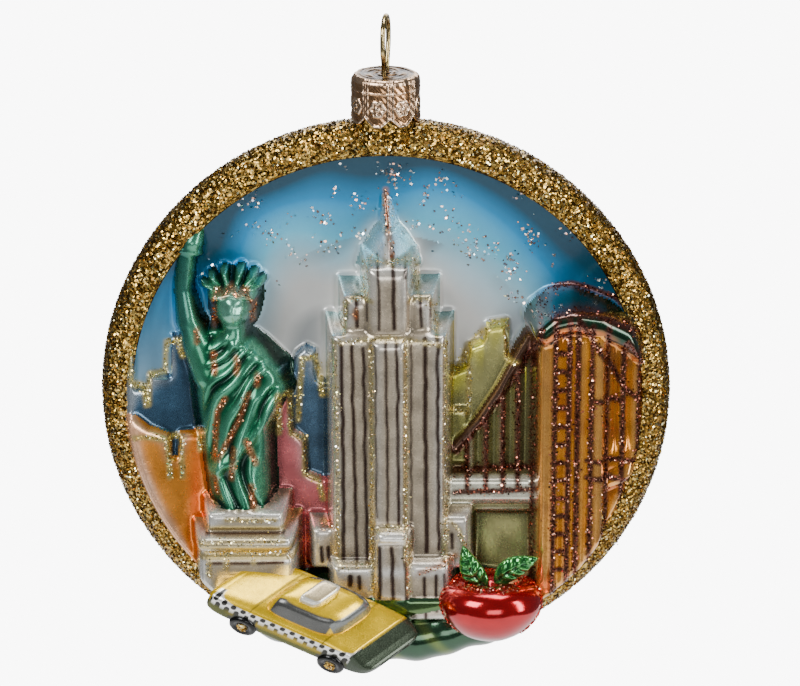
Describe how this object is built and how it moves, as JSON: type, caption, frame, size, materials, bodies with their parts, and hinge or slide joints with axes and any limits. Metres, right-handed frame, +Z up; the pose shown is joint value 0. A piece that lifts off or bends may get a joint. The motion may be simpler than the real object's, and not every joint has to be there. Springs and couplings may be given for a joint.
{
  "type": "christmas ornament",
  "caption": "Hollow blown-glass disc ornament with a dished front, moulded city skyline, statue, bridge, taxi and fruit in relief, glitter rim, stamped crown cap and wire hanging loop",
  "frame": {"origin": "the inside of the top of the wire loop, where a hook bears", "axes": "+Z up out of the cap, -Y out of the pictured front, +X to the viewer's right"},
  "size_m": [0.0906, 0.0372, 0.1074],
  "materials": {
    "silvered_glass": "silvered inside, satin sky-blue to silver lacquer outside",
    "neck_glass": "silvered glass neck",
    "gold_glitter": "gold glitter in clear lacquer",
    "tower_lacquer": "silvery beige satin lacquer with brown lines and glitter edges",
    "statue_lacquer": "emerald satin lacquer over silvering",
    "stone_lacquer": "cream satin lacquer with gold glitter bands",
    "bridge_lacquer": "copper satin lacquer with burgundy glitter lines",
    "skyline_lacquer": "satin lacquers in slate, rose, orange and olive with gold glitter outlines",
    "taxi_lacquer": "metallic yellow lacquer with a black and white check strip",
    "wheel_paint": "black paint with gold glitter hubs",
    "fruit_lacquer": "candy red gloss lacquer over silvering",
    "leaf_lacquer": "green satin lacquer",
    "ground_lacquer": "dark green satin lacquer",
    "cap_brass": "pink gold anodised stamped sheet",
    "wire_brass": "drawn brass wire"
  },
  "bodies": {
    "glass": {"glass_shell": "silvered_glass", "glass_neck": "neck_glass", "rim_glitter": "gold_glitter", "tower": "tower_lacquer", "tower_spire": "tower_lacquer", "pedestal": "stone_lacquer", "statue": "statue_lacquer", "statue_torch": "statue_lacquer", "bridge_pylon": "bridge_lacquer", "pylon_cornice": "bridge_lacquer", "left_span": "bridge_lacquer", "right_span": "bridge_lacquer", "right_piers": "bridge_lacquer", "skyline_left_near": "skyline_lacquer", "skyline_left_far": "skyline_lacquer", "skyline_middle_near": "skyline_lacquer", "skyline_middle_far": "skyline_lacquer", "skyline_right": "skyline_lacquer", "taxi_body": "taxi_lacquer", "taxi_cabin": "taxi_lacquer", "taxi_roof_sign": "taxi_lacquer", "taxi_wheels": "wheel_paint", "red_fruit": "fruit_lacquer", "fruit_leaves": "leaf_lacquer", "ground": "ground_lacquer"},
    "cap": {"crown_cap": "cap_brass"},
    "hanger": {"wire_hanger": "wire_brass"}
  },
  "joints": [
    {"name": "cap_pull", "type": "slide", "parent": "glass", "child": "cap", "axis": [0, 0, 1], "range_m": [0, 0.02]},
    {"name": "loop_turn", "type": "hinge", "parent": "cap", "child": "hanger", "pos_m": [0, 0, -0.0086], "axis": [0, 0, 1], "continuous": true}
  ]
}
